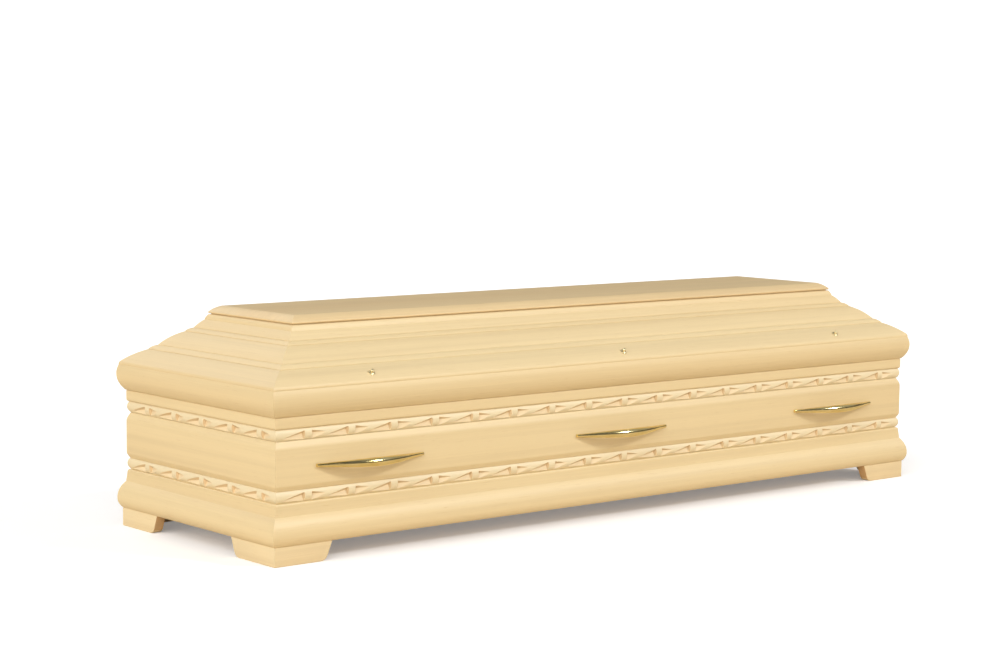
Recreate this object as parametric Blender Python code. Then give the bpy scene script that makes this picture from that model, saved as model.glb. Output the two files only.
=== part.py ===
"""A pale solid-wood coffin with its lid on.

Base with plinth, carved beads and bracket feet, moulded lid with a flat top board, and brass fittings.
Metres, +Z up. X runs along the coffin and the front long side faces -Y. The origin is on the floor,
in the middle. Every moulding is drawn as a section: OUT is measured outwards from the panel faces and
UP from the plinth's lower edge. The four sides share one section each and meet in mitres, so a section
is drawn once and run round the box.
"""

import math

import bmesh
import bpy
from mathutils import Matrix, Vector

# The box, measured over the plain panel faces, and the feet that it stands on.
PANEL_LENGTH = 2.000
PANEL_WIDTH = 0.6126
FOOT_HEIGHT = 0.0431

# Air left between pieces that touch, square to the joint, and the same along a mitred piece's length.
JOINT = 0.0003
MITRE = 0.00022

# Base: boards, the rebate that takes the applied mouldings, and the floor.
BOARD = 0.022
REBATE = 0.012
WALL_HEIGHT = 0.275
RAIL_FOOT = 0.2480
PANEL_TOP = 0.2062
PANEL_FOOT = 0.1282
FLOOR_THICKNESS = 0.018

# Plinth: a fascia over a half-round.
PLINTH_TOP = 0.0899
PLINTH_REACH = 0.0162
PLINTH_SWELL_HEIGHT = 0.022

# Carved bead, used twice: an astragal with bosses left plain between V-cut notches.
BEAD_HEIGHT = 0.0254
BEAD_RADIUS = 0.018
BEAD_CREST = -0.0010
CREST_HEIGHT = 0.0142
UPPER_BEAD_FOOT = 0.2223
LOWER_BEAD_FOOT = 0.0899
BOSS_PITCH = 0.1147
BOSS_HALF = 0.0097
NOTCH_LENGTH = 0.0395
NOTCH_ABOVE = 0.0068
NOTCH_BELOW = 0.0121
NOTCH_FLOOR = -0.0088
NOTCH_FLANK = 0.0018
LONG_SIDE_BOSSES = 17
LONG_SIDE_BOSS_SHIFT = 0.0036
END_BOSSES = 5
END_BOSS_SHIFT = 0.0128

# Feet: two mitred boards at each corner, sawn off at a slant.
FOOT_REACH = 0.007
FOOT_BOARD = 0.024
FOOT_ARM = 0.150
LONG_FOOT_ARM = 0.169
FOOT_SLANT = 0.017
FOOT_ROUND = 0.008

# Lid: a swelling rim, moulded slopes and a flat top board.
RIM_TOP = 0.333
RIM_SWELL = 0.0084
SLOPE_TOP = 0.4556
SLOPE_BACK_TOP = -0.1955
SHADOW_STEP = 0.0025
SHADOW_DEPTH = 0.0045
TOP_BOARD_EDGE = -0.1365
TOP_BOARD_TOP = 0.4755
TOP_EDGE_HEIGHT = 0.4590
TOP_ROUND = ((TOP_BOARD_EDGE, TOP_EDGE_HEIGHT), (-0.1596, 0.4734), 0.0020)
TOP_ARRIS = -0.1970

# Brass: bow handles and lid screws, three of each on both long sides.
HANDLE_PITCH = 0.7425
HANDLE_SHIFT = -0.0099
HANDLE_HALF = 0.1436
HANDLE_HEIGHT = 0.1655
HANDLE_TIP_OUT = 0.0032
HANDLE_RISE = 0.034
HANDLE_RADIUS = 0.0100
HANDLE_TIP_RADIUS = 0.0038
SCREW_PITCH = 0.745
SCREW_RADIUS = 0.0075
SCREW_SHARE = 0.33

WOOD = (0.76, 0.58, 0.33, 1.0)
BRASS = (0.80, 0.58, 0.24, 1.0)


def on_bow(start, end, rise, share):
    """The point at this share of a circular bow from start to end, which stands out by rise to the right."""
    a = Vector(start)
    b = Vector(end)
    chord = b - a
    half = chord.length / 2
    out = Vector((chord.y, -chord.x)).normalized()
    if abs(rise) < 1e-7:
        return tuple(a + chord * share)
    radius = (half * half + rise * rise) / (2 * rise)
    centre = (a + b) / 2 + out * (rise - radius)
    turn = math.asin(half / radius) * (2 * share - 1)
    along = chord.normalized()
    return tuple(centre + along * radius * math.sin(turn) + out * radius * math.cos(turn))


def bow(start, end, rise, parts):
    """Points of the bow after its start, up to and with its end."""
    return [on_bow(start, end, rise, step / parts) for step in range(1, parts + 1)]


def place(side, along, out, up):
    """A point of a side, from its distance along, out of the panel plane and up from the plinth's foot."""
    long_out = PANEL_WIDTH / 2 + out
    end_out = PANEL_LENGTH / 2 + out
    height = up + FOOT_HEIGHT
    if side == "front":
        return Vector((along, -long_out, height))
    if side == "back":
        return Vector((-along, long_out, height))
    if side == "left":
        return Vector((-end_out, -along, height))
    return Vector((end_out, along, height))


def half_of(side):
    return PANEL_LENGTH / 2 if side in ("front", "back") else PANEL_WIDTH / 2


def finish(name, mesh_builder, colour, metallic, roughness, smooth=True):
    """Turns the faces outwards and makes the object, with a material of its own."""
    bmesh.ops.recalc_face_normals(mesh_builder, faces=mesh_builder.faces)
    mesh = bpy.data.meshes.new(name)
    mesh_builder.to_mesh(mesh)
    mesh_builder.free()
    mesh.polygons.foreach_set("use_smooth", [smooth] * len(mesh.polygons))
    mesh.set_sharp_from_angle(angle=math.radians(32))
    material = bpy.data.materials.new(name + "_finish")
    material.use_nodes = True
    shader = material.node_tree.nodes["Principled BSDF"]
    shader.inputs["Base Color"].default_value = colour
    shader.inputs["Metallic"].default_value = metallic
    shader.inputs["Roughness"].default_value = roughness
    mesh.materials.append(material)
    made = bpy.data.objects.new(name, mesh)
    bpy.context.collection.objects.link(made)
    return made


def wooden(name, mesh_builder, smooth=True):
    return finish(name, mesh_builder, WOOD, 0.0, 0.4, smooth)


def brass(name, mesh_builder):
    return finish(name, mesh_builder, BRASS, 1.0, 0.18)


def skin(rings):
    """A closed solid over rings with the same number of points, capped at both ends."""
    built = bmesh.new()
    rows = [[built.verts.new(point) for point in ring] for ring in rings]
    count = len(rows[0])
    for low, high in zip(rows, rows[1:]):
        for i in range(count):
            j = (i + 1) % count
            built.faces.new((low[i], low[j], high[j], high[i]))
    caps = [built.faces.new(rows[0]), built.faces.new(rows[-1])]
    built.normal_update()
    bmesh.ops.triangulate(built, faces=caps, ngon_method="BEAUTY")
    return built


def mitred_run(name, side, section):
    """A moulding of this section along one side, mitred at both ends."""
    half = half_of(side)
    rings = []
    for end in (-1, 1):
        rings.append([place(side, end * (half + out - MITRE), out, up) for out, up in section])
    return wooden(name, skin(rings))


def wall_section():
    return [
        (-BOARD, 0.0),
        (-REBATE, 0.0),
        (-REBATE, 0.1156),
        (-0.0062, 0.1156),
        (-0.0014, 0.1242),
        (-0.0005, 0.1262),
        (0.0, PANEL_FOOT),
        (0.0, PANEL_TOP),
        (-0.0005, PANEL_TOP + 0.0026),
        (-0.0016, PANEL_TOP + 0.0050),
        (-0.0072, 0.2220),
        (-REBATE, 0.2220),
        (-REBATE, RAIL_FOOT),
        (-0.0042, RAIL_FOOT),
        (-0.0017, RAIL_FOOT + 0.0013),
        (-0.0004, RAIL_FOOT + 0.0033),
        (0.0, RAIL_FOOT + 0.0056),
        (0.0, WALL_HEIGHT - 0.0015),
        (-0.0010, WALL_HEIGHT - JOINT / 2),
        (-BOARD, WALL_HEIGHT - JOINT / 2),
    ]


def plinth_section():
    back = JOINT - REBATE
    swell = (PLINTH_REACH, PLINTH_SWELL_HEIGHT)
    shoulder = (0.0013, 0.0617)
    arris = (-0.0012, 0.0846)
    crown = (-0.0044, PLINTH_TOP - JOINT)
    points = [(back, 0.0), (0.0075, 0.0)]
    points += bow(points[-1], swell, 0.0023, 3)
    points += bow(swell, shoulder, 0.0041, 6)
    points.append(arris)
    points += bow(arris, crown, 0.0010, 2)
    points.append((back, PLINTH_TOP - JOINT))
    return points


def rim_section():
    foot = (0.0014, WALL_HEIGHT + JOINT / 2)
    shoulder = (0.0130, 0.3314)
    points = [(-BOARD, foot[1]), foot]
    points += bow(foot, shoulder, RIM_SWELL, 9)
    points += bow(shoulder, (0.0121, RIM_TOP - JOINT / 2), 0.0002, 2)
    points.append((-BOARD, RIM_TOP - JOINT / 2))
    return points


# The lid's slope from the nose up: three broad swellings, parted by a small bead and a fine quirk.
NOSE_FOOT = (0.0121, RIM_TOP + JOINT / 2)
NOSE = (0.0124, 0.3340)
LOWER_SWELL = ((0.0080, 0.3430), (-0.0370, 0.3700), 0.0022)
LOWER_BEAD = (LOWER_SWELL[1], (-0.0525, 0.3804), 0.0013)
MIDDLE_SWELL = ((-0.0542, 0.3816), (-0.0983, 0.4129), 0.0033)
UPPER_BEAD = (MIDDLE_SWELL[1], (-0.1120, 0.4216), 0.0013)
UPPER_SWELL = ((-0.1134, 0.4228), (-0.1307, 0.4409), 0.0010)
SLOPE_HEAD = (UPPER_SWELL[1], (-0.1372, SLOPE_TOP - SHADOW_STEP), 0.0009)


def slope_section():
    points = [(-BOARD, NOSE_FOOT[1]), NOSE_FOOT, NOSE]
    points += bow(NOSE, LOWER_SWELL[0], 0.0013, 3)
    points += bow(*LOWER_SWELL, 6)
    points += bow(*LOWER_BEAD, 4)
    points += [(-0.0533, 0.3796), MIDDLE_SWELL[0]]
    points += bow(*MIDDLE_SWELL, 6)
    points += bow(*UPPER_BEAD, 4)
    points += [(-0.1128, 0.4208), UPPER_SWELL[0]]
    points += bow(*UPPER_SWELL, 4)
    points += bow(*SLOPE_HEAD, 3)
    step_back = SLOPE_HEAD[1][0] - SHADOW_DEPTH
    points.append((step_back, SLOPE_TOP - SHADOW_STEP))
    points.append((step_back, SLOPE_TOP - JOINT / 2))
    points.append((SLOPE_BACK_TOP, SLOPE_TOP - JOINT / 2))
    return points


def bead_points(foot):
    """Five points over the bead's round face: its edges, its crest, and the height the notches open to."""
    crest = foot + CREST_HEIGHT
    points = []
    for rise in (-CREST_HEIGHT, -NOTCH_BELOW, 0.0, NOTCH_ABOVE, BEAD_HEIGHT - CREST_HEIGHT):
        drop = BEAD_RADIUS - math.sqrt(BEAD_RADIUS**2 - rise**2)
        points.append((BEAD_CREST - drop, crest + rise))
    return points


def carved_bead(name, side, foot, bosses):
    """A bead along one side. Each boss stays plain between two V-cut notches that run out to a point."""
    half = half_of(side)
    round_face = bead_points(foot)
    back = JOINT - REBATE
    built = bmesh.new()

    def vertex(along, out, up):
        return built.verts.new(place(side, along, out, up))

    def row(along):
        return [vertex(along, out, up) for out, up in round_face]

    def back_pair(along):
        return vertex(along, back, foot), vertex(along, back, foot + BEAD_HEIGHT)

    def strip(left, right):
        for j in range(4):
            built.faces.new((left[j], right[j], right[j + 1], left[j + 1]))

    def notch(flank, flank_along, apex):
        """Cuts from a boss's flank to the crest of a row of points further along."""
        outwards = 1 if flank_along > centre else -1
        floor = vertex(flank_along + outwards * NOTCH_FLANK, NOTCH_FLOOR, round_face[2][1])
        built.faces.new((flank[0], flank[1], apex[1], apex[0]))
        built.faces.new((flank[4], flank[3], apex[3], apex[4]))
        built.faces.new((flank[1], apex[2], apex[1]))
        built.faces.new((flank[3], apex[2], apex[3]))
        built.faces.new((floor, flank[1], apex[2]))
        built.faces.new((floor, flank[3], apex[2]))
        built.faces.new((floor, flank[1], flank[2]))
        built.faces.new((floor, flank[2], flank[3]))

    def mitred_row(end):
        points = [vertex(end * (half + out - MITRE), out, up) for out, up in round_face]
        backs = (
            vertex(end * (half + back - MITRE), back, foot),
            vertex(end * (half + back - MITRE), back, foot + BEAD_HEIGHT),
        )
        return points, backs

    previous, previous_back = mitred_row(-1)
    first, first_back = previous, previous_back
    lower_edge = [previous[0]]
    upper_edge = [previous[4]]

    def close_backs(new_back, low_points, high_points):
        built.faces.new([previous_back[0], *low_points, new_back[0]])
        built.faces.new([previous_back[1], *high_points, new_back[1]])
        built.faces.new((previous_back[0], new_back[0], new_back[1], previous_back[1]))

    for centre in bosses:
        left_apex = row(centre - BOSS_HALF - NOTCH_LENGTH)
        left = row(centre - BOSS_HALF)
        right = row(centre + BOSS_HALF)
        right_apex = row(centre + BOSS_HALF + NOTCH_LENGTH)
        strip(previous, left_apex)
        notch(left, centre - BOSS_HALF, left_apex)
        strip(left, right)
        notch(right, centre + BOSS_HALF, right_apex)
        stations = [left_apex, left, right, right_apex]
        lower_edge += [station[0] for station in stations]
        upper_edge += [station[4] for station in stations]
        new_back = back_pair(centre + BOSS_HALF + NOTCH_LENGTH)
        close_backs(new_back, lower_edge, upper_edge)
        previous, previous_back = right_apex, new_back
        lower_edge = [right_apex[0]]
        upper_edge = [right_apex[4]]
    last, last_back = mitred_row(1)
    strip(previous, last)
    close_backs(last_back, lower_edge + [last[0]], upper_edge + [last[4]])
    built.faces.new([first_back[0], *first, first_back[1]])
    built.faces.new([last_back[0], *last, last_back[1]])
    built.normal_update()
    bmesh.ops.triangulate(built, faces=built.faces[:], ngon_method="BEAUTY")
    return wooden(name, built, smooth=False)


def foot_board(name, side, end, arm):
    """One board of a bracket foot: mitred at the corner, sawn off at a slant and rounded at the inner toe."""
    half = half_of(side)
    top = -JOINT
    foot = -FOOT_HEIGHT
    toe = arm - FOOT_SLANT
    slant = Vector((FOOT_SLANT, top - foot)).normalized() * FOOT_ROUND
    outline = [(toe - FOOT_ROUND, foot)]
    for step in (1, 2, 3):
        share = step / 3
        from_sole = (1 - share) ** 2 * FOOT_ROUND
        up_slant = share**2
        outline.append((toe - from_sole + slant.x * up_slant, foot + slant.y * up_slant))
    outline.append((arm, top))
    rings = []
    for out in (FOOT_REACH, FOOT_REACH - FOOT_BOARD):
        corner = FOOT_REACH - out + MITRE
        shape = [(corner, top), (corner, foot)] + outline
        rings.append([place(side, end * (half + FOOT_REACH - v), out, up) for v, up in shape])
    return wooden(name, skin(rings))


def slab(name, levels):
    """A rectangular board from (out, up) levels, so that its edges can be shaped."""
    rings = []
    for out, up in levels:
        x = PANEL_LENGTH / 2 + out
        y = PANEL_WIDTH / 2 + out
        z = up + FOOT_HEIGHT
        rings.append([Vector((-x, -y, z)), Vector((x, -y, z)), Vector((x, y, z)), Vector((-x, y, z))])
    return wooden(name, skin(rings))


def handle(name, side, along):
    """A bow, thick in the middle, whose two thin ends lie flat on the panel."""
    sides = 10
    stations = [-1 + 2 * step / 14 for step in range(15)]
    rings = []

    def ring(share, shift, scale):
        swell = max(0.0, math.cos(math.pi / 2 * share))
        radius = scale * (HANDLE_TIP_RADIUS + (HANDLE_RADIUS - HANDLE_TIP_RADIUS) * swell**1.3)
        centre_out = HANDLE_TIP_OUT + HANDLE_RISE * swell**1.25
        rise_rate = -HANDLE_RISE * 1.25 * swell**0.25 * math.sin(math.pi / 2 * share) * math.pi / 2
        lean = math.atan2(rise_rate, HANDLE_HALF)
        points = []
        for k in range(sides):
            turn = 2 * math.pi * k / sides
            reach = radius * math.cos(turn)
            out = centre_out + reach * math.cos(lean)
            shifted = along + share * HANDLE_HALF + shift - reach * math.sin(lean)
            points.append(place(side, shifted, max(out, JOINT), HANDLE_HEIGHT + radius * math.sin(turn)))
        return points

    rings.append(ring(-1, -0.0012, 0.70))
    for share in stations:
        rings.append(ring(share, 0.0, 1.0))
    rings.append(ring(1, 0.0012, 0.70))
    return brass(name, skin(rings))


def lid_screw(name, side, along):
    """A turned screw cap with a round head, square to the lid's lower swelling."""
    sides = 10
    start, end, rise = LOWER_SWELL
    seat = Vector(on_bow(start, end, rise, SCREW_SHARE))
    run = Vector(on_bow(start, end, rise, SCREW_SHARE + 0.02)) - seat
    lean = Vector((run.y, -run.x)).normalized()
    profile = [
        (SCREW_RADIUS, JOINT),
        (SCREW_RADIUS, 0.0014),
        (0.0052, 0.0024),
        (0.0026, 0.0032),
        (0.0026, 0.0044),
        (0.0042, 0.0062),
        (0.0038, 0.0085),
        (0.0018, 0.0098),
    ]
    centre = place(side, along, seat.x, seat.y)
    axis = place(side, along, seat.x + lean.x, seat.y + lean.y) - centre
    rings = []
    across = axis.cross(Vector((0, 0, 1))).normalized()
    for radius, height in profile:
        ring = []
        for k in range(sides):
            turn = Matrix.Rotation(2 * math.pi * k / sides, 3, axis)
            ring.append(centre + axis * height + turn @ (across * radius))
        rings.append(ring)
    return brass(name, skin(rings))


def boss_places(count, shift):
    return [shift + BOSS_PITCH * (k - (count - 1) / 2) for k in range(count)]


for leftover in list(bpy.data.objects):
    bpy.data.objects.remove(leftover)

SIDES = ("front", "back", "left", "right")
LONG_SIDES = ("front", "back")

slab("base_floor_board", [(-BOARD - JOINT, 0.0), (-BOARD - JOINT, FLOOR_THICKNESS)])
for where in SIDES:
    mitred_run("base_wall_" + where, where, wall_section())
    mitred_run("plinth_moulding_" + where, where, plinth_section())
    if where in LONG_SIDES:
        places = boss_places(LONG_SIDE_BOSSES, LONG_SIDE_BOSS_SHIFT)
    else:
        places = boss_places(END_BOSSES, END_BOSS_SHIFT)
    carved_bead("carved_bead_upper_" + where, where, UPPER_BEAD_FOOT, places)
    carved_bead("carved_bead_lower_" + where, where, LOWER_BEAD_FOOT, places)

# Feet: each corner has one board along the long side and one along the end.
CORNERS = (
    ("front_left", "front", -1, "left", 1),
    ("front_right", "front", 1, "right", -1),
    ("back_right", "back", -1, "right", 1),
    ("back_left", "back", 1, "left", -1),
)
for corner, long_side, long_end, short_side, short_end in CORNERS:
    foot_board("foot_" + corner + "_long_board", long_side, long_end, FOOT_ARM)
    arm = LONG_FOOT_ARM if corner in ("front_left", "back_right") else FOOT_ARM
    foot_board("foot_" + corner + "_end_board", short_side, short_end, arm)

for where in SIDES:
    mitred_run("lid_rim_" + where, where, rim_section())
    mitred_run("lid_slope_" + where, where, slope_section())

# The top board's edge is square below, then round, and a long shallow bevel leads up to the flat.
top_levels = [
    (TOP_BOARD_EDGE - 0.0010, SLOPE_TOP + JOINT / 2),
    (TOP_BOARD_EDGE, SLOPE_TOP + 0.0010),
    TOP_ROUND[0],
]
top_levels += bow(*TOP_ROUND, 6)
top_levels.append((TOP_ARRIS, TOP_BOARD_TOP))
slab("lid_top_board", top_levels)

for where in LONG_SIDES:
    for number, share in enumerate((-1, 0, 1), start=1):
        handle(f"handle_{where}_{number}", where, share * HANDLE_PITCH + HANDLE_SHIFT)
        lid_screw(f"lid_screw_{where}_{number}", where, share * SCREW_PITCH)
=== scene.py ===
"""The dressed coffin: every moulding run, carved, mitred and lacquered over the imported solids.

Metres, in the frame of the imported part: X runs along the coffin, the front long side faces -Y, Z is up and
the floor is at 0. Sections are drawn as (OUT, UP): OUT is measured outwards from the plain panel faces and
UP from the plinth's lower edge.
"""

import math
import random

import bmesh
import bpy
from mathutils import Matrix, Vector


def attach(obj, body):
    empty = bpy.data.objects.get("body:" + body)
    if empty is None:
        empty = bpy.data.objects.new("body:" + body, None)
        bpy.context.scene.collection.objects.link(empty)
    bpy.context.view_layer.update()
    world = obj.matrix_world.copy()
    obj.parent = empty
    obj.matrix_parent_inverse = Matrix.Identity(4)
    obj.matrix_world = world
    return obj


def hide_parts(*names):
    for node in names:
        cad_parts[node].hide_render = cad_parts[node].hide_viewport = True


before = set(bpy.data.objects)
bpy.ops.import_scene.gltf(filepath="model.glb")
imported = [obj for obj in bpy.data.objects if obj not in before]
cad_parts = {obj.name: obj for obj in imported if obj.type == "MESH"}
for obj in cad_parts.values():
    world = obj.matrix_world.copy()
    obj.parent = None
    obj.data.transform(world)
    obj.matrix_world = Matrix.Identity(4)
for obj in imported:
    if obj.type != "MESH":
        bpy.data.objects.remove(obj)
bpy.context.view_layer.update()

# Floor board
# A plain planed board let in between the four walls, level with their lower edges. It has no moulding, so
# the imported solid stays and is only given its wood. Its underside shows between the feet.


def lacquered_wood(name, grain_turn, shift, pale, deep, figure=1.0):
    """Pale, straight-grained wood under satin lacquer. Its grain is turned this many degrees from X."""
    material = bpy.data.materials.new(name)
    material.use_nodes = True
    nodes = material.node_tree.nodes
    links = material.node_tree.links
    shader = nodes["Principled BSDF"]
    shader.inputs["IOR"].default_value = 1.48
    shader.inputs["Coat Weight"].default_value = 0.5
    shader.inputs["Coat Roughness"].default_value = 0.42

    where = nodes.new("ShaderNodeTexCoord")
    along_grain = nodes.new("ShaderNodeMapping")
    along_grain.inputs["Location"].default_value = shift
    along_grain.inputs["Rotation"].default_value = (0, 0, math.radians(grain_turn))
    links.new(where.outputs["Object"], along_grain.inputs["Vector"])

    def streaks(along, across, detail, rough=0.5):
        """Noise drawn out along the grain, with this many waves in a metre each way."""
        stretch = nodes.new("ShaderNodeMapping")
        stretch.inputs["Scale"].default_value = (along, across, across)
        links.new(along_grain.outputs["Vector"], stretch.inputs["Vector"])
        noise = nodes.new("ShaderNodeTexNoise")
        noise.inputs["Scale"].default_value = 1.0
        noise.inputs["Detail"].default_value = detail
        noise.inputs["Roughness"].default_value = rough
        links.new(stretch.outputs["Vector"], noise.inputs["Vector"])
        return noise.outputs["Fac"]

    def shaped(fac, low, high, out_low=0.0, out_high=1.0):
        spread = nodes.new("ShaderNodeMapRange")
        spread.inputs["From Min"].default_value = low
        spread.inputs["From Max"].default_value = high
        spread.inputs["To Min"].default_value = out_low
        spread.inputs["To Max"].default_value = out_high
        links.new(fac, spread.inputs["Value"])
        return spread.outputs["Result"]

    def mixed(fac, first, second, way="MIX"):
        mix = nodes.new("ShaderNodeMix")
        mix.data_type = "RGBA"
        mix.blend_type = way
        links.new(fac, mix.inputs["Factor"])
        for socket, value in ((mix.inputs["A"], first), (mix.inputs["B"], second)):
            if isinstance(value, tuple):
                socket.default_value = value
            else:
                links.new(value, socket)
        return mix.outputs["Result"]

    boards = streaks(0.35, 5.0, 1.0)
    rings = streaks(0.55, 42.0, 3.0, 0.6)
    fibres = streaks(5.0, 330.0, 2.0, 0.6)
    pores = streaks(26.0, 620.0, 1.0)

    tone = mixed(shaped(boards, 0.35, 0.65, 0.15, 0.85), pale, deep)
    darker = tuple(c * 0.86 for c in deep[:3]) + (1.0,)
    tone = mixed(shaped(rings, 0.42, 0.72, 0.0, 0.45 * figure), tone, darker)
    lighter = tuple(min(1.0, c * 1.06) for c in pale[:3]) + (1.0,)
    tone = mixed(shaped(fibres, 0.50, 0.72, 0.0, 0.30 * figure), tone, lighter)
    pore_tone = tuple(c * f for c, f in zip(deep[:3], (0.80, 0.72, 0.60))) + (1.0,)
    tone = mixed(shaped(pores, 0.66, 0.76, 0.0, 0.35 * figure), tone, pore_tone)
    links.new(tone, shader.inputs["Base Color"])
    links.new(shaped(fibres, 0.3, 0.7, 0.46, 0.56), shader.inputs["Roughness"])

    relief = nodes.new("ShaderNodeBump")
    relief.inputs["Strength"].default_value = 0.12
    relief.inputs["Distance"].default_value = 0.0004
    links.new(fibres, relief.inputs["Height"])
    links.new(relief.outputs["Normal"], shader.inputs["Normal"])
    return material


PALE = (0.802, 0.640, 0.362, 1.0)
DEEP = (0.762, 0.576, 0.304, 1.0)


def dress(piece, material):
    """Takes off what the piece had on and gives it this one material all over."""
    piece.data.materials.clear()
    piece.data.materials.append(material)


floor_board_wood = lacquered_wood("floor board wood", 0, (3.1, 0.7, 0.2), PALE, DEEP)
dress(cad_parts["base_floor_board"], floor_board_wood)

# Walls
# Four solid wooden boards, rebated for the carved strips. Two chamfers frame the plain panel and a rail
# stands over the upper strip. Each board is moulded in one length and sawn to a mitre at both ends.

PANEL_LENGTH = 2.000
PANEL_WIDTH = 0.6126
FOOT_HEIGHT = 0.0431
JOINT = 0.0003
MITRE = 0.00003
BOARD = 0.022
REBATE = 0.012
WALL_HEIGHT = 0.275
WASTE = 0.03


def place(side, along, out, up):
    """A point of the front or left side, by how far it is along, out and up from the plinth's foot."""
    if side == "front":
        return Vector((along, -PANEL_WIDTH / 2 - out, up + FOOT_HEIGHT))
    return Vector((-PANEL_LENGTH / 2 - out, -along, up + FOOT_HEIGHT))


def half_of(side):
    """Half the length of the side, over its plain panel."""
    return PANEL_LENGTH / 2 if side == "front" else PANEL_WIDTH / 2


def bow(start, end, rise, parts):
    """Points of a circular bow, from after its start to its end. It stands out to the right by rise."""
    a = Vector(start)
    b = Vector(end)
    chord = b - a
    half = chord.length / 2
    along = chord.normalized()
    out = Vector((along.y, -along.x))
    radius = (half * half + rise * rise) / (2 * rise)
    centre = (a + b) / 2 + out * (rise - radius)
    points = []
    for step in range(1, parts + 1):
        turn = math.asin(half / radius) * (2 * step / parts - 1)
        points.append(tuple(centre + along * radius * math.sin(turn) + out * radius * math.cos(turn)))
    return points


def trace(name, places):
    """Sets down a point, draws it on from place to place and closes the line to one flat face."""
    bpy.ops.object.select_all(action="DESELECT")
    bpy.ops.mesh.primitive_plane_add(size=0.01, location=places[0])
    piece = bpy.context.active_object
    piece.name = name
    bpy.ops.object.transform_apply(location=True)
    bpy.ops.object.mode_set(mode="EDIT")
    bpy.ops.mesh.select_mode(type="VERT")
    bpy.ops.mesh.merge(type="CENTER")
    for here, there in zip(places, places[1:]):
        bpy.ops.mesh.extrude_vertices_move(TRANSFORM_OT_translate={"value": there - here})
    bpy.ops.mesh.select_all(action="SELECT")
    bpy.ops.mesh.edge_face_add()
    return piece


def pick(piece, chosen):
    """In edit mode, selects the edges whose two ends pass the test, and no others."""
    bpy.ops.mesh.select_mode(type="EDGE")
    bpy.ops.mesh.select_all(action="DESELECT")
    editing = bmesh.from_edit_mesh(piece.data)
    for edge in editing.edges:
        edge.select = chosen(edge)
    editing.select_flush_mode()
    bmesh.update_edit_mesh(piece.data)


def saw_mitres(side):
    """In edit mode, saws both ends off at 45 degrees, where the corners of the coffin are."""
    outwards = place(side, 0, 1, 0) - place(side, 0, 0, 0)
    onwards = place(side, 1, 0, 0) - place(side, 0, 0, 0)
    for end in (-1, 1):
        bpy.ops.mesh.select_all(action="SELECT")
        bpy.ops.mesh.bisect(
            plane_co=place(side, end * (half_of(side) - MITRE), 0, 0),
            plane_no=onwards * end - outwards,
            use_fill=True,
            clear_outer=True,
        )


def smooth_off(piece, angle=28):
    """Leaves edit mode with the faces turned outwards, and keeps only edges sharper than the angle."""
    bpy.ops.mesh.select_all(action="SELECT")
    bpy.ops.mesh.normals_make_consistent(inside=False)
    bpy.ops.object.mode_set(mode="OBJECT")
    bpy.ops.object.shade_smooth_by_angle(angle=math.radians(angle))


def moulding(side, section):
    """One length of moulding along a side, made too long by the waste and then mitred at both ends."""
    reach = half_of(side) + WASTE
    piece = trace("moulding", [place(side, -reach, out, up) for out, up in section])
    length = place(side, reach, 0, 0) - place(side, -reach, 0, 0)
    bpy.ops.mesh.extrude_region_move(TRANSFORM_OT_translate={"value": length})
    saw_mitres(side)
    smooth_off(piece)
    return piece


def own_copy(piece, name):
    """The same piece again, with a mesh of its own."""
    bpy.ops.object.select_all(action="DESELECT")
    piece.select_set(True)
    bpy.context.view_layer.objects.active = piece
    bpy.ops.object.duplicate(linked=False)
    copy = bpy.context.active_object
    copy.name = name
    return copy


def turned_copy(piece, name):
    """A copy of the piece for the opposite side of the coffin."""
    copy = own_copy(piece, name)
    copy.rotation_euler = (0, 0, math.pi)
    bpy.ops.object.transform_apply(location=False, rotation=True, scale=False)
    return copy


OPPOSITE = {"front": "back", "left": "right"}


def fit(piece, node, material):
    """Hands the finished piece over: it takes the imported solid's place and moves with the coffin."""
    dress(piece, material)
    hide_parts(node)
    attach(piece, "root")


def fit_round(name, solid, make, woods):
    """Makes the front and left pieces of a group and turns a copy of each to the opposite side."""
    for side in ("front", "left"):
        piece = make(side)
        piece.name = name + "_" + side
        other = turned_copy(piece, name + "_" + OPPOSITE[side])
        fit(piece, solid + "_" + side, woods[side])
        fit(other, solid + "_" + OPPOSITE[side], woods[side])


def two_ways(name, shift, pale=PALE, deep=DEEP, figure=1.0):
    """The same wood with its grain along the coffin and with its grain across it, for the ends."""
    return {
        "front": lacquered_wood(name + " along", 0, shift, pale, deep, figure),
        "left": lacquered_wood(name + " across", 90, shift, pale, deep, figure),
    }


LOWER_STRIP_TOP = 0.1156
UPPER_STRIP_FOOT = 0.2220
UPPER_STRIP_TOP = 0.2480
panel_foot = ((-0.0014, 0.1242), (0.0, 0.1282), 0.0002)
panel_head = ((0.0, 0.2030), (-0.0024, 0.2128), 0.0006)
rail_foot = ((-0.0042, UPPER_STRIP_TOP), (0.0, 0.2536), 0.0011)
rail_head = ((0.0, WALL_HEIGHT - 0.0028), (-0.0026, WALL_HEIGHT - JOINT / 2), 0.0007)

wall_outline = [(-BOARD, 0.0), (-REBATE, 0.0), (-REBATE, LOWER_STRIP_TOP), (-0.0062, LOWER_STRIP_TOP)]
wall_outline.append(panel_foot[0])
wall_outline += bow(*panel_foot, 6)
wall_outline.append(panel_head[0])
wall_outline += bow(*panel_head, 8)
wall_outline += [(-0.0072, UPPER_STRIP_FOOT), (-REBATE, UPPER_STRIP_FOOT), (-REBATE, UPPER_STRIP_TOP)]
wall_outline.append(rail_foot[0])
wall_outline += bow(*rail_foot, 8)
wall_outline.append(rail_head[0])
wall_outline += bow(*rail_head, 6)
wall_outline.append((-BOARD, WALL_HEIGHT - JOINT / 2))

wall_woods = two_ways("wall wood", (0.4, 0.15, 0.3))
fit_round("wall_board", "base_wall", lambda side: moulding(side, wall_outline), wall_woods)

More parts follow.
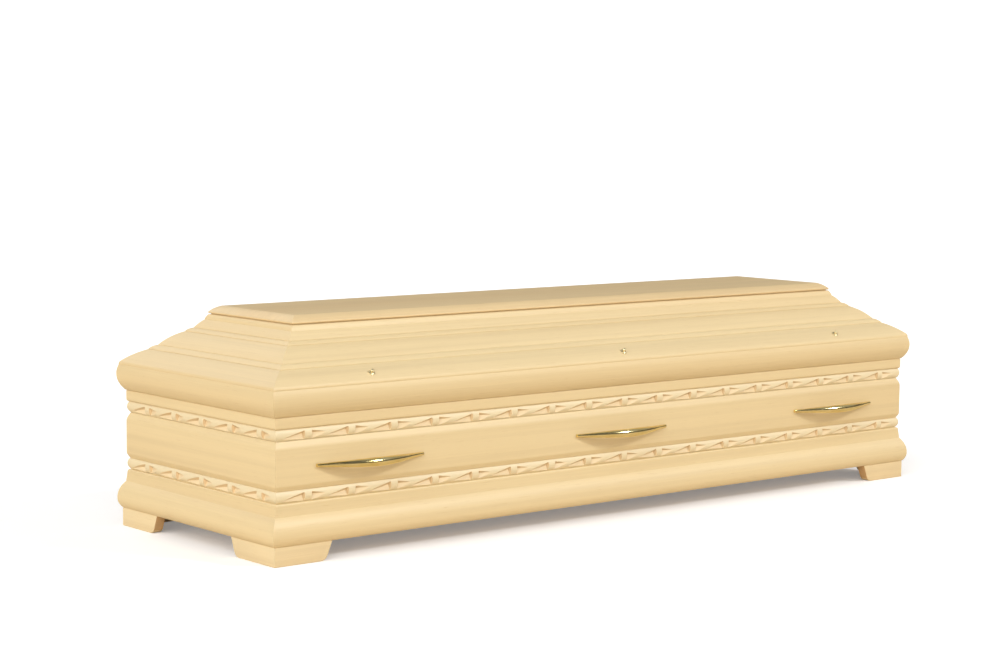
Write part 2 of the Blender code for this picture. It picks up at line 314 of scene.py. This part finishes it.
# Plinth
# A separate wooden moulding planted over the foot of the walls: a flat fascia with a fine crown stands
# over a full, slightly flattened half-round. Each side is one length, mitred like the walls.

PLINTH_TOP = 0.0899
swell = (0.0162, 0.0220)
shoulder = (0.0013, 0.0617)
arris = (-0.0012, 0.0846)
plinth_outline = [(JOINT - REBATE, 0.0), (0.0075, 0.0)]
plinth_outline += bow((0.0075, 0.0), swell, 0.0023, 12)
plinth_outline += bow(swell, shoulder, 0.0041, 24)
plinth_outline.append(arris)
plinth_outline += bow(arris, (-0.0044, PLINTH_TOP - JOINT), 0.0010, 8)
plinth_outline.append((JOINT - REBATE, PLINTH_TOP - JOINT))

plinth_woods = two_ways("plinth wood", (5.2, 0.35, 0.8))
fit_round("plinth", "plinth_moulding", lambda side: moulding(side, plinth_outline), plinth_woods)

# Carved beads
# Two round wooden strips along every side, let into the rebates of the walls. With a V-tool the carver has
# cut two notches to every boss, both deepest at its flank: a long one that slants down towards the foot of
# the bead and a short, level one.

LOWER_BEAD_FOOT = 0.0899
UPPER_BEAD_FOOT = 0.2223
BEAD_HEIGHT = 0.0254
BEAD_RADIUS = 0.018
BEAD_CREST = -0.0010
CREST_HEIGHT = 0.0142
BOSS_PITCH = 0.1147
BOSS_HALF = 0.0097
NOTCHES = ((-1, 0.0560, -0.0090), (1, 0.0345, 0.0010))
NOTCH_ABOVE = 0.0064
NOTCH_BELOW = 0.0121
NOTCH_FLOOR = -0.0088
NOTCH_FLANK = 0.0018
BOSSES = {"front": (17, 0.0036), "left": (5, 0.0128)}


def bead_face(rise):
    """How far out the bead's round face is at this height over its crest."""
    return BEAD_CREST - BEAD_RADIUS + math.sqrt(BEAD_RADIUS**2 - rise**2)


def bead_outline(foot):
    """The section of a strip that starts at this height."""
    crest = foot + CREST_HEIGHT
    parts = 18
    rises = [-CREST_HEIGHT + BEAD_HEIGHT * step / parts for step in range(parts + 1)]
    outline = [(JOINT - REBATE, foot)]
    outline += [(bead_face(rise), crest + rise) for rise in rises]
    outline.append((JOINT - REBATE, foot + BEAD_HEIGHT))
    return outline


def notch_cut(side, crest, flank, outwards, length, point_rise, hand):
    """The wood that one V-cut takes away: three-sided, deep at the flank and thin at its point."""

    def at(along, out, rise):
        return place(side, flank + outwards * along, out, crest + rise)

    floor = at(NOTCH_FLANK, NOTCH_FLOOR + hand.uniform(-0.0004, 0.0004), hand.uniform(-0.0006, 0.0006))
    point_rise += hand.uniform(-0.0006, 0.0006)
    point = at(length + hand.uniform(-0.0018, 0.0018), bead_face(point_rise), point_rise)
    above = at(0.0, bead_face(NOTCH_ABOVE), NOTCH_ABOVE + hand.uniform(-0.0004, 0.0004))
    below = at(0.0, bead_face(-NOTCH_BELOW), -NOTCH_BELOW + hand.uniform(-0.0006, 0.0004))
    bpy.ops.mesh.primitive_cone_add(vertices=3, radius1=0.01, depth=0.02)
    cut = bpy.context.active_object
    # The corners are drawn on past the round of the bead, so that the cut comes clear of it.
    corners = (
        floor,
        floor + (above - floor) * 3,
        floor + (below - floor) * 5,
        floor + (point - floor) * 1.02,
    )
    for vertex, corner in zip(cut.data.vertices, corners):
        vertex.co = cut.matrix_world.inverted() @ corner
    return cut


def carved_bead(side, foot, seed):
    """A bead with its bosses carved out by notches, each a little different, as a hand leaves them."""
    strip = moulding(side, bead_outline(foot))
    hand = random.Random(seed)
    count, shift = BOSSES[side]
    cuts = []
    for number in range(count):
        centre = shift + BOSS_PITCH * (number - (count - 1) / 2)
        for outwards, length, point_rise in NOTCHES:
            flank = centre + outwards * (BOSS_HALF + hand.uniform(-0.0005, 0.0005))
            cuts.append(notch_cut(side, foot + CREST_HEIGHT, flank, outwards, length, point_rise, hand))
    bpy.ops.object.select_all(action="DESELECT")
    for cut in cuts:
        cut.select_set(True)
    bpy.context.view_layer.objects.active = cuts[0]
    bpy.ops.object.join()
    bpy.ops.object.mode_set(mode="EDIT")
    bpy.ops.mesh.select_all(action="SELECT")
    bpy.ops.mesh.normals_make_consistent(inside=False)
    bpy.ops.object.mode_set(mode="OBJECT")
    waste = bpy.context.active_object
    carving = strip.modifiers.new("carving", "BOOLEAN")
    carving.operation = "DIFFERENCE"
    carving.solver = "EXACT"
    carving.object = waste
    bpy.ops.object.select_all(action="DESELECT")
    strip.select_set(True)
    bpy.context.view_layer.objects.active = strip
    bpy.ops.object.modifier_apply(modifier=carving.name)
    bpy.data.objects.remove(waste)
    bpy.ops.object.mode_set(mode="EDIT")
    smooth_off(strip, 24)
    return strip


# The strips' wood is paler and less yellow than the walls: partly its own tone, partly a painted sheen for
# the highlights on the round of the bead.
BEAD_TONE_AND_SHEEN = ((0.84, 0.72, 0.47, 1), (0.80, 0.66, 0.41, 1))
bead_woods = two_ways("carved strip wood", (1.7, 0.55, 0.1), *BEAD_TONE_AND_SHEEN, figure=0.6)
fit_round("upper_bead", "carved_bead_upper", lambda side: carved_bead(side, UPPER_BEAD_FOOT, 11), bead_woods)
fit_round("lower_bead", "carved_bead_lower", lambda side: carved_bead(side, LOWER_BEAD_FOOT, 23), bead_woods)


def in_notch(face, foot):
    """Whether the V-tool cut this face of the strip: it then lies deeper than the round of the bead."""
    out = max(abs(face.center.y) - PANEL_WIDTH / 2, abs(face.center.x) - PANEL_LENGTH / 2)
    rise = face.center.z - FOOT_HEIGHT - foot - CREST_HEIGHT
    under_round = math.hypot(out - BEAD_CREST + BEAD_RADIUS, rise) < BEAD_RADIUS - 0.0004
    at_mitre = min(abs(face.normal.x), abs(face.normal.y)) > 0.6 and abs(face.normal.z) < 0.01
    return under_round and out > 0.0005 - REBATE and abs(face.normal.z) < 0.999 and not at_mitre


# The notches are left as cut, warmer than the pale round of the bead. Their faces that look downwards get a
# darker, browner wood: painted shade.
SLICED = ((0.86, 0.69, 0.43, 1), (0.83, 0.65, 0.38, 1))
NOTCH_PAINTED_SHADE = ((0.76, 0.57, 0.33, 1), (0.70, 0.51, 0.28, 1))
sliced_woods = two_ways("sliced wood", (0.6, 0.9, 1.4), *SLICED, figure=0.3)
notch_shade_woods = two_ways("wood with painted notch shade", (0.2, 1.1, 0.4), *NOTCH_PAINTED_SHADE)
for name, foot in (("upper_bead", UPPER_BEAD_FOOT), ("lower_bead", LOWER_BEAD_FOOT)):
    for side, grain in (("front", "front"), ("back", "front"), ("left", "left"), ("right", "left")):
        strip = bpy.data.objects[name + "_" + side].data
        strip.materials.append(sliced_woods[grain])
        strip.materials.append(notch_shade_woods[grain])
        for face in strip.polygons:
            if in_notch(face, foot):
                # Notch faces that look upwards or sideways take the cut wood; those that look downwards take
                # the painted shade.
                face.material_index = 1 if face.normal.z > -0.05 else 2

# Lid rim
# Four wooden rails with a full, swelling face, moulded in one length and mitred. They carry the slopes of
# the lid and rest on the walls, and the lid is lifted by them.

RIM_TOP = 0.333
RIM_SEAM = 0.0001
SLOPE_FOOT = 0.0121
rim_foot = (0.0014, WALL_HEIGHT + JOINT / 2)
rim_shoulder = (0.0130, 0.3314)
rim_outline = [(-BOARD, rim_foot[1]), rim_foot]
rim_outline += bow(rim_foot, rim_shoulder, 0.0084, 36)
rim_outline += bow(rim_shoulder, (SLOPE_FOOT, RIM_TOP - RIM_SEAM), 0.0002, 4)
rim_outline.append((-BOARD, RIM_TOP - RIM_SEAM))

rim_woods = two_ways("rim wood", (2.3, 0.85, 0.5))
fit_round("rim_rail", "lid_rim", lambda side: moulding(side, rim_outline), rim_woods)

# Lid slopes
# Four thick wooden boards laid at a slope on the rim and mitred to each other. Their faces are moulded in
# three broad swellings that are parted by two small beads, each between two fine quirks.

SLOPE_TOP = 0.4556
SHADOW_STEP = 0.0025
lower_swell = ((0.0080, 0.3430), (-0.0370, 0.3700), 0.0022)
middle_swell = ((-0.0542, 0.3816), (-0.0983, 0.4129), 0.0033)
upper_swell = ((-0.1134, 0.4228), (-0.1307, 0.4409), 0.0010)
nose = (0.0124, 0.3340)
lower_bead = ((-0.0374, 0.3712), (-0.0525, 0.3804), 0.0014)
upper_bead = ((-0.0987, 0.4141), (-0.1120, 0.4216), 0.0013)
head = (-0.1372, SLOPE_TOP - SHADOW_STEP)
shadow_back = -0.1417
board_back = -0.1955

slope_outline = [(-BOARD, RIM_TOP), (SLOPE_FOOT, RIM_TOP), nose]
slope_outline += bow(nose, lower_swell[0], 0.0013, 8)
slope_outline += bow(*lower_swell, 14)
slope_outline += [(-0.0377, 0.3693), lower_bead[0]]
slope_outline += bow(*lower_bead, 10)
slope_outline += [(-0.0538, 0.3789), middle_swell[0]]
slope_outline += bow(*middle_swell, 14)
slope_outline += [(-0.0990, 0.4122), upper_bead[0]]
slope_outline += bow(*upper_bead, 10)
slope_outline += [(-0.1134, 0.4201), upper_swell[0]]
slope_outline += bow(*upper_swell, 10)
slope_outline += bow(upper_swell[1], head, 0.0009, 8)
slope_outline += [(shadow_back, SLOPE_TOP - SHADOW_STEP), (shadow_back, SLOPE_TOP - JOINT / 2)]
slope_outline.append((board_back, SLOPE_TOP - JOINT / 2))

slope_woods = two_ways("slope wood", (4.6, 1.3, 0.9))
fit_round("slope_board", "lid_slope", lambda side: moulding(side, slope_outline), slope_woods)

# Top board
# One wide wooden board that closes the lid over a narrow shadow gap. Its edge is square below and worked
# round above, and a long shallow bevel leads up to the flat. The four corners are sanded off a little.

TOP_BOARD_EDGE = -0.1365
TOP_BOARD_TOP = 0.4755
TOP_BEVEL_FOOT = (-0.1596, 0.4734)
TOP_ARRIS = (-0.1970, TOP_BOARD_TOP)
UNDER_CHAMFER = 0.0010
CORNER_ROUND = 0.002
TOP_PALE = (0.79, 0.602, 0.326, 1)
TOP_DEEP = (0.75, 0.540, 0.272, 1)
edge_levels = [(TOP_BOARD_EDGE, SLOPE_TOP + UNDER_CHAMFER), (TOP_BOARD_EDGE, 0.4590)]
edge_levels += bow(edge_levels[1], TOP_BEVEL_FOOT, 0.0020, 12)
edge_levels += bow(TOP_BEVEL_FOOT, TOP_ARRIS, 0.0001, 2)

bpy.ops.object.select_all(action="DESELECT")
board_length = PANEL_LENGTH + 2 * TOP_BOARD_EDGE
board_width = PANEL_WIDTH + 2 * TOP_BOARD_EDGE
under_length = board_length - 2 * UNDER_CHAMFER
under_width = board_width - 2 * UNDER_CHAMFER
bpy.ops.mesh.primitive_plane_add(size=1, location=(0, 0, FOOT_HEIGHT + SLOPE_TOP + JOINT / 2))
top_board = bpy.context.active_object
top_board.name = "top_board"
top_board.scale = (under_length, under_width, 1)
bpy.ops.object.transform_apply(location=True, scale=True)
bpy.ops.object.mode_set(mode="EDIT")
bpy.ops.mesh.extrude_region_move(TRANSFORM_OT_translate={"value": (0, 0, UNDER_CHAMFER - JOINT / 2)})
bpy.ops.transform.resize(
    value=(board_length / under_length, board_width / under_width, 1),
    center_override=(0, 0, 0),
)
square_edge = edge_levels[1][1] - edge_levels[0][1]
bpy.ops.mesh.extrude_region_move(TRANSFORM_OT_translate={"value": (0, 0, square_edge)})
for here, there in zip(edge_levels[1:], edge_levels[2:]):
    bpy.ops.mesh.inset(thickness=here[0] - there[0], depth=there[1] - here[1])


def board_corner(edge):
    """An edge that climbs at one of the four corners of the board, over its square part and its round."""
    a, b = (vertex.co for vertex in edge.verts)
    off_corner = max(abs(abs(v.x) - abs(v.y) - (board_length - board_width) / 2) for v in (a, b))
    return off_corner < 1e-5 and max(a.z, b.z) < FOOT_HEIGHT + TOP_BEVEL_FOOT[1] + 0.0001


pick(top_board, board_corner)
bpy.ops.mesh.bevel(offset=CORNER_ROUND, segments=3, affect="EDGES", clamp_overlap=True)
bpy.ops.mesh.select_all(action="SELECT")
bpy.ops.mesh.remove_doubles(threshold=0.00001)
smooth_off(top_board)
fit(top_board, "lid_top_board", lacquered_wood("top board wood", 0, (7.4, 0.25, 0.6), TOP_PALE, TOP_DEEP))

# Bracket feet
# Two thick wooden boards at each corner, mitred to each other under the plinth. The inner ends are sawn
# off at a slant, and the toes and the arrises are rounded with the plane.

FOOT_REACH = 0.007
FOOT_BOARD = 0.024
FOOT_ARM = 0.150
LONG_FOOT_ARM = 0.169
FOOT_SLANT = 0.017
FOOT_ROUND = 0.014
FOOT_ARRIS = 0.0018
PAST_CORNER = 0.004
TOE_PARTS = 8


def foot_board(name, side, end, arm):
    """One board of a foot, from the corner at this end of the side to its slanting inner end."""
    half = half_of(side)
    toe = arm - FOOT_SLANT
    slant = Vector((FOOT_SLANT, FOOT_HEIGHT - JOINT)).normalized() * FOOT_ROUND
    outline = [(-PAST_CORNER, -JOINT), (-PAST_CORNER, -FOOT_HEIGHT), (toe - FOOT_ROUND, -FOOT_HEIGHT)]
    for step in range(1, TOE_PARTS + 1):
        share = step / TOE_PARTS
        back = (1 - share) ** 2 * FOOT_ROUND
        outline.append((toe - back + slant.x * share**2, -FOOT_HEIGHT + slant.y * share**2))
    outline.append((arm, -JOINT))
    piece = trace(name, [place(side, end * (half + FOOT_REACH - v), FOOT_REACH, up) for v, up in outline])
    thickness = place(side, 0, -FOOT_BOARD, 0) - place(side, 0, 0, 0)
    bpy.ops.mesh.extrude_region_move(TRANSFORM_OT_translate={"value": thickness})
    outwards = place(side, 0, 1, 0) - place(side, 0, 0, 0)
    onwards = place(side, end, 0, 0) - place(side, 0, 0, 0)
    bpy.ops.mesh.select_all(action="SELECT")
    bpy.ops.mesh.bisect(
        plane_co=place(side, end * (half - MITRE), 0, 0),
        plane_no=onwards - outwards,
        use_fill=True,
        clear_outer=True,
    )

    def outer_arris(edge):
        """An edge of the outer face, but for the mitre."""
        outs = [(vertex.co - place(side, 0, 0, 0)).dot(outwards) for vertex in edge.verts]
        runs = [(vertex.co - place(side, 0, 0, 0)).dot(onwards) for vertex in edge.verts]
        on_face = all(out > FOOT_REACH - 1e-5 for out in outs)
        at_corner = all(run > half + FOOT_REACH - 0.001 for run in runs)
        return on_face and not at_corner

    pick(piece, outer_arris)
    bpy.ops.mesh.bevel(offset=FOOT_ARRIS, segments=3, affect="EDGES", clamp_overlap=True)
    smooth_off(piece)
    return piece


FOOT_FACE = ((0.83, 0.68, 0.41, 1), (0.80, 0.62, 0.35, 1))
END_GRAIN = ((0.68, 0.44, 0.21, 1), (0.61, 0.37, 0.16, 1))
foot_woods = two_ways("foot wood", (6.1, 1.9, 0.4), *FOOT_FACE)
end_grain = lacquered_wood("foot end grain", 0, (2.2, 0.3, 1.1), *END_GRAIN)
for corner, side, end, arm, turned in (
    ("front_left", "front", -1, FOOT_ARM, "back_right"),
    ("front_right", "front", 1, FOOT_ARM, "back_left"),
    ("front_left", "left", 1, LONG_FOOT_ARM, "back_right"),
    ("back_left", "left", -1, FOOT_ARM, "front_right"),
):
    run = "long" if side == "front" else "end"
    piece = foot_board(f"foot_{corner}_{run}", side, end, arm)
    other = turned_copy(piece, f"foot_{turned}_{run}")
    fit(piece, f"foot_{corner}_{run}_board", foot_woods[side])
    fit(other, f"foot_{turned}_{run}_board", foot_woods[side])
    for board in (piece, other):
        board.data.materials.append(end_grain)
        for face in board.data.polygons:
            along_board = face.normal.x if side == "front" else face.normal.y
            face.material_index = 1 if abs(along_board) > 0.8 else 0

# Bow handles
# Three bows of cast and polished brass on each long side, thick in the middle. Their thin ends are filed
# flat where they lie on the panel, and bolts through the wall, out of sight, hold them from inside.

HANDLE_PITCH = 0.7425
HANDLE_SHIFT = -0.0099
HANDLE_HALF = 0.1436
HANDLE_HEIGHT = 0.1655
HANDLE_TIP_OUT = 0.0032
HANDLE_RISE = 0.034
HANDLE_RADIUS = 0.0100
HANDLE_TIP_RADIUS = 0.0038
HANDLE_TAPER = 1.3
HANDLE_SWEEP = 1.25
HALF_BOW_PARTS = 32


def polished_brass(name, shift, dull, bright, roughness):
    """Yellow brass, polished by hand: the shine is uneven and the casting still ripples a little."""
    material = bpy.data.materials.new(name)
    material.use_nodes = True
    nodes = material.node_tree.nodes
    links = material.node_tree.links
    shader = nodes["Principled BSDF"]
    shader.inputs["Metallic"].default_value = 1.0
    where = nodes.new("ShaderNodeTexCoord")
    moved = nodes.new("ShaderNodeMapping")
    moved.inputs["Location"].default_value = shift
    links.new(where.outputs["Object"], moved.inputs["Vector"])

    def cloud(scale, detail):
        noise = nodes.new("ShaderNodeTexNoise")
        noise.inputs["Scale"].default_value = scale
        noise.inputs["Detail"].default_value = detail
        links.new(moved.outputs["Vector"], noise.inputs["Vector"])
        return noise.outputs["Fac"]

    tarnish = nodes.new("ShaderNodeValToRGB")
    tarnish.color_ramp.elements[0].position = 0.30
    tarnish.color_ramp.elements[0].color = dull
    tarnish.color_ramp.elements[1].position = 0.70
    tarnish.color_ramp.elements[1].color = bright
    links.new(cloud(38.0, 3.0), tarnish.inputs["Fac"])
    links.new(tarnish.outputs["Color"], shader.inputs["Base Color"])
    shine = nodes.new("ShaderNodeMapRange")
    shine.inputs["To Min"].default_value = roughness[0]
    shine.inputs["To Max"].default_value = roughness[1]
    links.new(cloud(160.0, 2.0), shine.inputs["Value"])
    links.new(shine.outputs["Result"], shader.inputs["Roughness"])
    ripple = nodes.new("ShaderNodeBump")
    ripple.inputs["Strength"].default_value = 0.05
    ripple.inputs["Distance"].default_value = 0.001
    links.new(cloud(70.0, 1.0), ripple.inputs["Height"])
    links.new(ripple.outputs["Normal"], shader.inputs["Normal"])
    return material


def bow_station(share):
    """Centre, radius and lean of the bow at this share of its half length."""
    swelling = max(0.0, math.cos(math.pi / 2 * share))
    radius = HANDLE_TIP_RADIUS + (HANDLE_RADIUS - HANDLE_TIP_RADIUS) * swelling**HANDLE_TAPER
    out = HANDLE_TIP_OUT + HANDLE_RISE * swelling**HANDLE_SWEEP
    sweep_rate = HANDLE_SWEEP * swelling ** (HANDLE_SWEEP - 1)
    rate = -HANDLE_RISE * sweep_rate * math.sin(math.pi / 2 * share) * math.pi / 2
    return place("front", share * HANDLE_HALF, out, HANDLE_HEIGHT), radius, math.atan2(rate, HANDLE_HALF)


bpy.ops.object.select_all(action="DESELECT")
stations = [bow_station(-1 + step / HALF_BOW_PARTS) for step in range(2 * HALF_BOW_PARTS + 1)]
start, start_radius, start_lean = stations[0]
bpy.ops.mesh.primitive_circle_add(
    vertices=40,
    radius=start_radius,
    fill_type="NGON",
    location=start,
    rotation=(0, math.pi / 2, 0),
)
bow_handle = bpy.context.active_object
bpy.ops.object.transform_apply(location=True, rotation=True)
bpy.ops.object.mode_set(mode="EDIT")
bpy.ops.transform.rotate(value=start_lean, orient_axis="Z", center_override=start)
for here, there in zip(stations, stations[1:]):
    bpy.ops.mesh.extrude_region_move(TRANSFORM_OT_translate={"value": there[0] - here[0]})
    bpy.ops.transform.resize(value=(there[1] / here[1],) * 3, center_override=there[0])
    bpy.ops.transform.rotate(value=there[2] - here[2], orient_axis="Z", center_override=there[0])
bpy.ops.mesh.select_all(action="SELECT")
bpy.ops.mesh.bisect(
    plane_co=place("front", 0, JOINT, 0),
    plane_no=(0, 1, 0),
    use_fill=True,
    clear_outer=True,
)
smooth_off(bow_handle, 40)

HANDLE_BRASS = ((0.80, 0.64, 0.26, 1), (0.89, 0.75, 0.38, 1))
brass = polished_brass("handle brass", (0.3, 0.1, 0.7), *HANDLE_BRASS, roughness=(0.12, 0.24))
for number, share in enumerate((-1, 0, 1), start=1):
    piece = own_copy(bow_handle, f"bow_handle_front_{number}")
    piece.location = (share * HANDLE_PITCH + HANDLE_SHIFT, 0, 0)
    bpy.ops.object.transform_apply(location=True)
    other = turned_copy(piece, f"bow_handle_back_{number}")
    fit(piece, f"handle_front_{number}", brass)
    fit(other, f"handle_back_{number}", brass)
bpy.data.objects.remove(bow_handle)

# Lid screws
# Three small screws on each long side hold the lid down. What shows is a cap of turned, pale brass, with
# a flat rosette, a neck and a round head, which stands square to the lowest swelling of the lid.

SCREW_PITCH = 0.745
SCREW_SHARE = 0.33
screw_profile = [(0.0075, 0.0003), (0.0075, 0.0011), (0.0070, 0.0015), (0.0058, 0.0018), (0.0052, 0.0024)]
screw_profile += [(0.0036, 0.0027), (0.0026, 0.0032), (0.0026, 0.0044), (0.0034, 0.0050), (0.0042, 0.0058)]
screw_profile += [(0.0044, 0.0068), (0.0042, 0.0080), (0.0034, 0.0090), (0.0020, 0.0096), (0.0, 0.0098)]
lid_screw = trace("screw_cap", [Vector((0, 0, JOINT))] + [Vector((r, 0, h)) for r, h in screw_profile])
bpy.ops.mesh.delete(type="ONLY_FACE")
bpy.ops.mesh.select_all(action="SELECT")
bpy.ops.mesh.spin(steps=32, angle=2 * math.pi, center=(0, 0, 0), axis=(0, 0, 1))
bpy.ops.mesh.select_all(action="SELECT")
bpy.ops.mesh.remove_doubles(threshold=0.00001)
bpy.ops.mesh.delete_loose(use_verts=False, use_edges=True, use_faces=False)
smooth_off(lid_screw, 40)

swell_parts = 100
swell_run = bow(*lower_swell, swell_parts)
seat_part = round(swell_parts * SCREW_SHARE)
seat = Vector(swell_run[seat_part - 1])
onwards = Vector(swell_run[seat_part]) - seat
lean = math.atan2(onwards.y, -onwards.x)
SCREW_BRASS = ((0.84, 0.72, 0.42, 1), (0.91, 0.80, 0.52, 1))
screw_brass = polished_brass("lid screw brass", (0.9, 0.4, 0.2), *SCREW_BRASS, roughness=(0.38, 0.54))
for number, share in enumerate((-1, 0, 1), start=1):
    piece = own_copy(lid_screw, f"screw_cap_front_{number}")
    piece.rotation_euler = (lean, 0, 0)
    piece.location = place("front", share * SCREW_PITCH, seat.x, seat.y)
    bpy.ops.object.transform_apply(location=True, rotation=True)
    other = turned_copy(piece, f"screw_cap_back_{number}")
    fit(piece, f"lid_screw_front_{number}", screw_brass)
    fit(other, f"lid_screw_back_{number}", screw_brass)
bpy.data.objects.remove(lid_screw)

# Studio
# A plain pale floor and a white surround. Broad soft lights stand in front, at the left and behind, and a
# narrower one at the right draws the handles' shadows. Next to the wood, the floor throws warm light up.

bpy.context.scene.view_settings.view_transform = "Standard"

bpy.ops.object.select_all(action="DESELECT")
bpy.ops.mesh.primitive_plane_add(size=600, location=(0, 0, 0))
floor = bpy.context.active_object
floor.name = "studio_floor"
floor_white = bpy.data.materials.new("studio floor white")
floor_white.use_nodes = True
floor_shader = floor_white.node_tree.nodes["Principled BSDF"]
floor_shader.inputs["Roughness"].default_value = 0.9
floor_shader.inputs["Emission Color"].default_value = (1, 1, 1, 1)
floor_nodes = floor_white.node_tree.nodes
floor_links = floor_white.node_tree.links
# To the camera the floor is white and glows faintly. To all other light it is warm and doesn't glow.
floor_ray = floor_nodes.new("ShaderNodeLightPath")
floor_tone = floor_nodes.new("ShaderNodeMix")
floor_tone.data_type = "RGBA"
floor_tone.inputs["A"].default_value = (0.70, 0.57, 0.40, 1.0)
floor_tone.inputs["B"].default_value = (0.98, 0.98, 0.98, 1.0)
floor_links.new(floor_ray.outputs["Is Camera Ray"], floor_tone.inputs["Factor"])
floor_links.new(floor_tone.outputs["Result"], floor_shader.inputs["Base Color"])
floor_glow = floor_nodes.new("ShaderNodeMapRange")
floor_glow.inputs["To Max"].default_value = 0.21
floor_links.new(floor_ray.outputs["Is Camera Ray"], floor_glow.inputs["Value"])
floor_links.new(floor_glow.outputs["Result"], floor_shader.inputs["Emission Strength"])
dress(floor, floor_white)

surround = bpy.data.worlds.new("studio surround")
surround.use_nodes = True
surround_nodes = surround.node_tree.nodes
surround_links = surround.node_tree.links
sky = surround_nodes["Background"]
sky.inputs["Color"].default_value = (1, 1, 1, 1)
sky.inputs["Strength"].default_value = 0.28
studio_dark = surround_nodes.new("ShaderNodeBackground")
studio_dark.inputs["Color"].default_value = (1, 1, 1, 1)
studio_dark.inputs["Strength"].default_value = 0.09
backdrop = surround_nodes.new("ShaderNodeBackground")
backdrop.inputs["Color"].default_value = (1, 1, 1, 1)
backdrop.inputs["Strength"].default_value = 1.2
# The camera sees the backdrop, reflections show the dark of the studio, and all else is lit by the sky.
ray = surround_nodes.new("ShaderNodeLightPath")
mirrored = surround_nodes.new("ShaderNodeMixShader")
surround_links.new(ray.outputs["Is Glossy Ray"], mirrored.inputs["Fac"])
surround_links.new(sky.outputs["Background"], mirrored.inputs[1])
surround_links.new(studio_dark.outputs["Background"], mirrored.inputs[2])
direct = surround_nodes.new("ShaderNodeMixShader")
surround_links.new(ray.outputs["Is Camera Ray"], direct.inputs["Fac"])
surround_links.new(mirrored.outputs["Shader"], direct.inputs[1])
surround_links.new(backdrop.outputs["Background"], direct.inputs[2])
surround_links.new(direct.outputs["Shader"], surround_nodes["World Output"].inputs["Surface"])
bpy.context.scene.world = surround


def soft_light(name, towards, strength, spread):
    """A large soft light far off in this direction, so that it lights the whole floor evenly."""
    bpy.ops.object.select_all(action="DESELECT")
    bpy.ops.object.light_add(type="SUN", location=Vector(towards).normalized() * 6)
    light = bpy.context.active_object
    light.name = name
    light.data.energy = strength
    light.data.angle = math.radians(spread)
    light.rotation_euler = Vector(towards).to_track_quat("Z", "Y").to_euler()


soft_light("front_light", (-0.60, -0.70, 0.39), 0.95, 55)
soft_light("left_light", (-0.86, -0.22, 0.46), 1.84, 65)
soft_light("right_light", (0.64, -1.00, 0.764), 1.12, 9)
soft_light("back_right_light", (0.66, -0.10, 0.74), 0.22, 60)
soft_light("back_light", (-0.02, 0.76, 0.65), 0.54, 50)

bpy.ops.object.select_all(action="DESELECT")
bpy.ops.object.camera_add()
camera = bpy.context.active_object
camera.name = "camera"
camera.data.sensor_width = 36
camera.data.lens = 82.69
# The photograph's own view, solved from the coffin's straight edges: the camera's axes and its place.
right = Vector((0.771628, -0.636030, 0.007496))
up = Vector((0.054710, 0.078106, 0.995443))
back = Vector((-0.633717, -0.767702, 0.095066))
camera.matrix_world = Matrix((right, up, back)).transposed().to_4x4()
camera.matrix_world.translation = Vector((-3.6495, -4.2294, 0.9624))
bpy.context.scene.camera = camera
